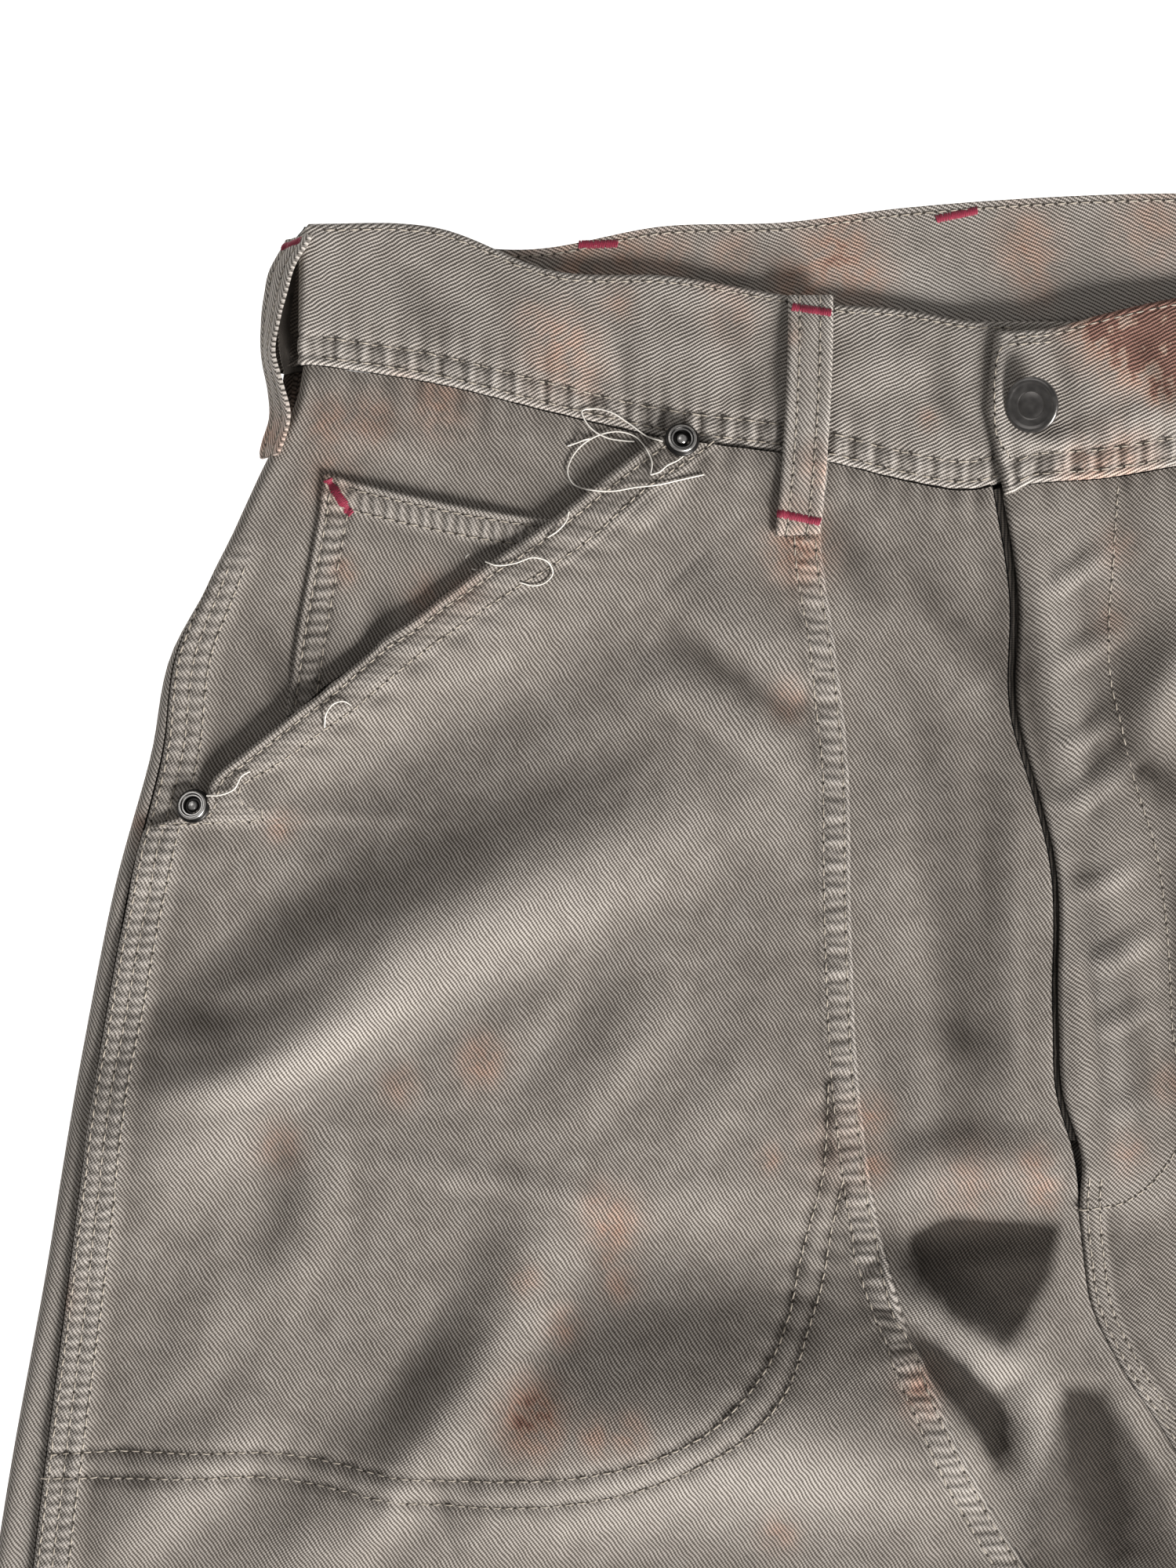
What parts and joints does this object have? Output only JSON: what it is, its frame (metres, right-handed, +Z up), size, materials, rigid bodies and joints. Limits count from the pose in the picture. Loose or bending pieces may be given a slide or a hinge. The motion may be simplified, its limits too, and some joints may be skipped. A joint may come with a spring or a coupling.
{
  "type": "pair of carpenter pants laid flat",
  "caption": "Canvas work pants with doubled fronts, laid flat on their back: waistband, fly, slanted front pockets, watch pocket, belt loops, rivets and button.",
  "frame": {"origin": "on the surface the pants lie on, under the middle of their length and width", "axes": "+Y from the hems to the waist, +X to the wearer's left, +Z up out of the front of the pants"},
  "size_m": [0.6687, 1.1194, 0.0218],
  "materials": {
    "canvas": "worn cotton twill, matt, faded taupe",
    "doubled_canvas": "worn cotton twill, matt, faded taupe, stained",
    "band_canvas": "worn cotton twill, matt, faded taupe, abraded edges",
    "zip_tape": "dark woven tape",
    "gunmetal": "dark gunmetal, polished, slightly tarnished"
  },
  "bodies": {
    "root": {"front_panel_right": "canvas", "front_panel_left": "canvas", "back_panel_right": "canvas", "back_panel_left": "canvas", "double_front_right": "doubled_canvas", "double_front_left": "doubled_canvas", "watch_pocket": "canvas", "waistband": "band_canvas", "zip_tape": "zip_tape", "belt_loop_front_right": "band_canvas", "belt_loop_front_left": "band_canvas", "belt_loop_side_right": "band_canvas", "belt_loop_side_left": "band_canvas", "belt_loop_back_right": "band_canvas", "belt_loop_back_centre": "band_canvas", "belt_loop_back_left": "band_canvas", "rivet_right_upper": "gunmetal", "rivet_right_lower": "gunmetal", "rivet_left_upper": "gunmetal", "rivet_left_lower": "gunmetal", "button": "gunmetal"}
  },
  "joints": []
}
